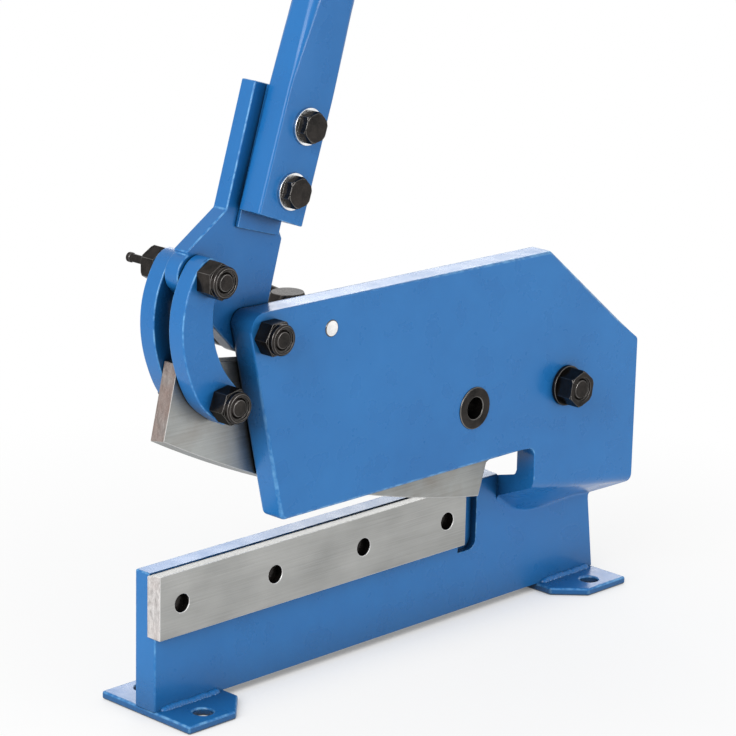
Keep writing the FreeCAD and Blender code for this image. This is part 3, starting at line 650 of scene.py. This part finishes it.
# Grip.
# A moulded black rubber sleeve with raised rings, pushed over the tube's top end.
def moulded_rubber():
    material, tree, shader, where = start_material("black rubber")
    cloud = noise(tree, where, 30.0, 3.0)
    fine = noise(tree, where, 1800.0, 2.0)
    colour = between(tree, level(tree, cloud, 0.0, 1.0), (0.014, 0.014, 0.015), (0.024, 0.024, 0.025))
    colour = between(tree, rounding_middle_mark(tree), colour, (0.05, 0.05, 0.05))
    tree.links.new(colour, shader.inputs["Base Color"])
    tree.links.new(level(tree, fine, 0.5, 0.72), shader.inputs["Roughness"])
    relief(tree, shader, (fine, 0.3, 0.0001), (cloud, 0.1, 0.0008))
    return material


def rib_tree():
    tree, given, made = node_tree("grip ribs", [
        ("Count", "Int", 12), ("Spacing", "Float", 0.008), ("Radius", "Float", 0.021),
        ("Thickness", "Float", 0.0012), ("Foot", "Vector", None), ("Turn", "Vector", None),
        ("Finish", "Material", None)])
    spacing = tree.nodes.new("ShaderNodeCombineXYZ")
    tree.links.new(given.outputs["Spacing"], spacing.inputs["Z"])
    row = step(tree, "MeshLine", Count=given.outputs["Count"], Offset=spacing.outputs["Vector"])
    around = step(tree, "CurvePrimitiveCircle", Resolution=48, Radius=given.outputs["Radius"])
    section = step(tree, "CurvePrimitiveCircle", Resolution=8, Radius=given.outputs["Thickness"])
    rib = step(tree, "CurveToMesh", Curve=around.outputs["Curve"], Profile_Curve=section.outputs["Curve"])
    placed = step(tree, "InstanceOnPoints", Points=row.outputs["Mesh"], Instance=rib.outputs["Mesh"])
    moved = step(tree, "Transform", Geometry=placed.outputs["Instances"], Translation=given.outputs["Foot"],
                 Rotation=given.outputs["Turn"])
    solid = step(tree, "RealizeInstances", Geometry=moved.outputs["Geometry"])
    smooth = step(tree, "SetShadeSmooth", Geometry=solid.outputs["Geometry"])
    done = step(tree, "SetMaterial", Geometry=smooth.outputs["Geometry"], Material=given.outputs["Finish"])
    tree.links.new(done.outputs["Geometry"], made.inputs["Geometry"])
    return tree


rubber = moulded_rubber()
rib_count = 12
rib_spacing = 0.008
handle_lean = math.radians(17.9)
low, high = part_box("handle_grip")
grip_axis = Vector((math.sin(handle_lean), 0.0, math.cos(handle_lean)))
first_rib = (low + high) / 2 - grip_axis * rib_spacing * (rib_count - 1) / 2
ribs = grown("ribs", bpy.data.meshes.new("none"), rib_tree(), {
    "Count": rib_count, "Spacing": rib_spacing, "Foot": tuple(first_rib), "Turn": (0.0, handle_lean, 0.0),
    "Finish": rubber})
finished("rubber_ribs", ribs, "lever", "grip_rubber", [rubber])
finished("rubber_grip", rounded(merged_copy("handle_grip"), 0.0015, 3), "lever", "grip_rubber", [rubber],
         "handle_grip")


# Floor.
# A plain pale floor that fades into the white round the object and keeps its soft shadow, deepened by
# painted shade in the gaps under it.
def seen_or_mirrored(tree):
    # 1 where the camera looks, straight or by way of metal or glass, and 0 for all other light.
    rays = tree.nodes.new("ShaderNodeLightPath").outputs
    seen = rays["Is Camera Ray"]
    for kind in ("Is Glossy Ray", "Is Transmission Ray"):
        either = tree.nodes.new("ShaderNodeMath")
        either.operation = "MAXIMUM"
        tree.links.new(seen, either.inputs[0])
        tree.links.new(rays[kind], either.inputs[1])
        seen = either.outputs[0]
    return seen


def pale_floor():
    # It throws light back as plain pale paper does. What is seen of it is partly white of its own, less
    # so in the gaps under the object, which paints shade there, and all white further off.
    material = bpy.data.materials.new("pale floor")
    material.use_nodes = True
    tree = material.node_tree
    tree.nodes.clear()
    plain = tree.nodes.new("ShaderNodeBsdfDiffuse")
    plain.inputs["Color"].default_value = (0.93, 0.93, 0.93, 1.0)
    seen = tree.nodes.new("ShaderNodeBsdfDiffuse")
    seen.inputs["Color"].default_value = (0.97, 0.97, 0.965, 1.0)
    white = tree.nodes.new("ShaderNodeEmission")
    white.inputs["Strength"].default_value = 1.0
    shadowed = tree.nodes.new("ShaderNodeMixShader")
    # Painted shade: the floor's own white falls away where the object hides the sky.
    open_sky = tree.nodes.new("ShaderNodeAmbientOcclusion")
    open_sky.samples = 6
    open_sky.inputs["Distance"].default_value = 0.06
    tree.links.new(level(tree, open_sky.outputs["AO"], 0.12, 0.76, 0.1, 0.9), shadowed.inputs[0])
    tree.links.new(seen.outputs[0], shadowed.inputs[1])
    tree.links.new(white.outputs[0], shadowed.inputs[2])
    where = tree.nodes.new("ShaderNodeTexCoord")
    reach = tree.nodes.new("ShaderNodeVectorMath")
    reach.operation = "LENGTH"
    tree.links.new(where.outputs["Object"], reach.inputs[0])
    away = level(tree, reach.outputs["Value"], 0.0, 1.0, 0.20, 0.60)
    faded = tree.nodes.new("ShaderNodeMixShader")
    tree.links.new(away, faded.inputs[0])
    tree.links.new(shadowed.outputs[0], faded.inputs[1])
    tree.links.new(white.outputs[0], faded.inputs[2])
    choose = tree.nodes.new("ShaderNodeMixShader")
    tree.links.new(seen_or_mirrored(tree), choose.inputs[0])
    tree.links.new(plain.outputs[0], choose.inputs[1])
    tree.links.new(faded.outputs[0], choose.inputs[2])
    out = tree.nodes.new("ShaderNodeOutputMaterial")
    tree.links.new(choose.outputs[0], out.inputs["Surface"])
    return material


floor_radius = 9.0
form = bmesh.new()
bmesh.ops.create_circle(form, cap_ends=True, segments=64, radius=floor_radius)
floor_mesh = bpy.data.meshes.new("floor")
form.to_mesh(floor_mesh)
form.free()
floor_mesh.materials.append(pale_floor())
floor = bpy.data.objects.new("floor", floor_mesh)
bpy.context.scene.collection.objects.link(floor)


# Light.
# One large soft lamp at the front left, a weaker one at the right, a long one behind for the top edges.
def soft_lamp(name, place, width, height, power):
    lamp = bpy.data.lights.new(name, "AREA")
    lamp.shape = "RECTANGLE"
    lamp.size = width
    lamp.size_y = height
    lamp.energy = power
    holder = bpy.data.objects.new(name, lamp)
    bpy.context.scene.collection.objects.link(holder)
    holder.location = place
    aim = lamp_target - Vector(place)
    holder.rotation_euler = aim.to_track_quat("-Z", "Y").to_euler()
    holder.visible_camera = False


lamp_target = Vector((0.0, 0.0, 0.25))
soft_lamp("key lamp", (-2.9, -0.85, 1.9), 2.2, 2.0, 88.0)
soft_lamp("fill lamp", (1.0, -2.75, 0.40), 1.1, 0.7, 22.0)
soft_lamp("back lamp", (2.1, 2.1, 1.42), 2.4, 0.9, 27.0)

world = bpy.data.worlds.new("white room")
bpy.context.scene.world = world
world.use_nodes = True
tree = world.node_tree
tree.nodes.clear()
choose = tree.nodes.new("ShaderNodeMixShader")
tree.links.new(seen_or_mirrored(tree), choose.inputs[0])
room_light = 0.42
seen_white = 1.0
for socket, strength in ((choose.inputs[1], room_light), (choose.inputs[2], seen_white)):
    light = tree.nodes.new("ShaderNodeBackground")
    light.inputs["Color"].default_value = (1.0, 1.0, 1.0, 1.0)
    light.inputs["Strength"].default_value = strength
    tree.links.new(light.outputs[0], socket)
out = tree.nodes.new("ShaderNodeOutputWorld")
tree.links.new(choose.outputs[0], out.inputs["Surface"])


# Camera.
# At the photograph's angle: turned 45.7 degrees to the operator's left and 15.6 degrees above level,
# with a long lens from 2.25 m away.
azimuth = math.radians(45.67)
elevation = math.radians(15.64)
roll = math.radians(1.275)
right = Vector((math.cos(azimuth), -math.sin(azimuth), 0.0))
up = Vector((math.sin(azimuth) * math.sin(elevation), math.cos(azimuth) * math.sin(elevation),
             math.cos(elevation)))
across = right * math.cos(roll) + up * math.sin(roll)
upward = up * math.cos(roll) - right * math.sin(roll)
backward = across.cross(upward)
lens = bpy.data.cameras.new("camera")
lens.lens = 150.36
lens.sensor_width = 36.0
camera = bpy.data.objects.new("camera", lens)
bpy.context.scene.collection.objects.link(camera)
camera_place = Vector((-1.51497, -1.46359, 0.79393))
turn = Matrix((across, upward, backward)).transposed().to_4x4()
camera.matrix_world = Matrix.Translation(camera_place) @ turn
bpy.context.scene.camera = camera
bpy.context.scene.view_settings.view_transform = "Standard"
